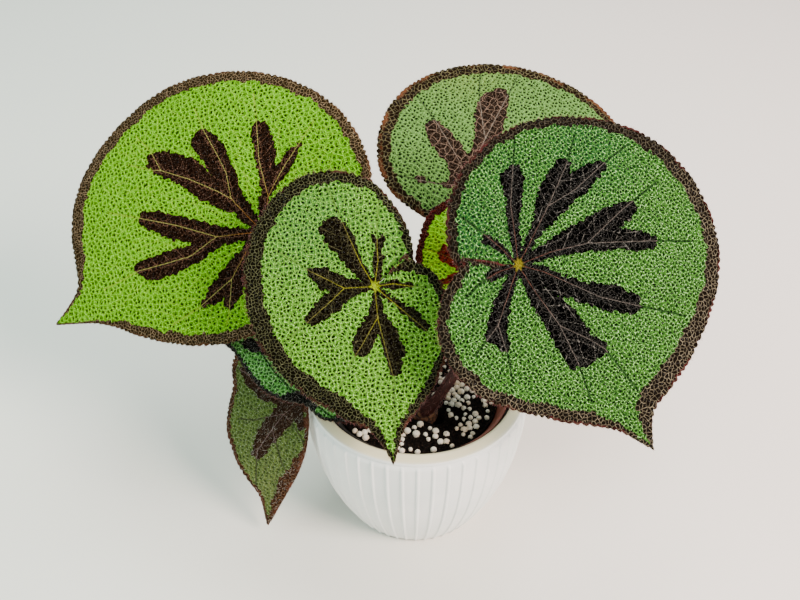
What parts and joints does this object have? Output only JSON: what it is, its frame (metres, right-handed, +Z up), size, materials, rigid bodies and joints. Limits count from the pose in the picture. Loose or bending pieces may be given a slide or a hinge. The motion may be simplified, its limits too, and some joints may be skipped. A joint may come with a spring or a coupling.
{
  "type": "potted iron cross begonia",
  "caption": "Rhizomatous foliage plant with heart-shaped, dark-centred blades on stalks, in a liner inside a ribbed tapering pot with a turned-in lip.",
  "frame": {"origin": "middle of the pot's flat underside", "axes": "+Z up along the pot's axis; the leaves face -Y, with +X to the viewer's right"},
  "size_m": [0.3172, 0.2214, 0.2187],
  "materials": {
    "pot_white": "satin white, faintly cream at the lip",
    "liner_brown": "thin matt moulded plastic",
    "potting_mix": "dark crumbly mix with white mineral beads",
    "rhizome": "scaly brown stem",
    "stalk_red": "dark red stalk with fine pale hairs",
    "leaf_green": "puckered green leaf with a dark brown cross and margin",
    "leaf_dark": "puckered deep green leaf with a near-black cross and margin"
  },
  "bodies": {
    "root": {"pot": "pot_white", "liner_pot": "liner_brown", "potting_mix": "potting_mix", "rhizome": "rhizome", "stalk_a": "stalk_red", "stalk_b": "stalk_red", "stalk_c": "stalk_red", "stalk_d": "stalk_red", "stalk_e": "stalk_red", "stalk_f": "stalk_red", "stalk_g": "stalk_red", "blade_a": "leaf_green", "blade_b": "leaf_green", "blade_c": "leaf_dark", "blade_d": "leaf_green", "blade_e": "leaf_green", "blade_f": "leaf_dark", "blade_g": "leaf_dark"}
  },
  "joints": []
}
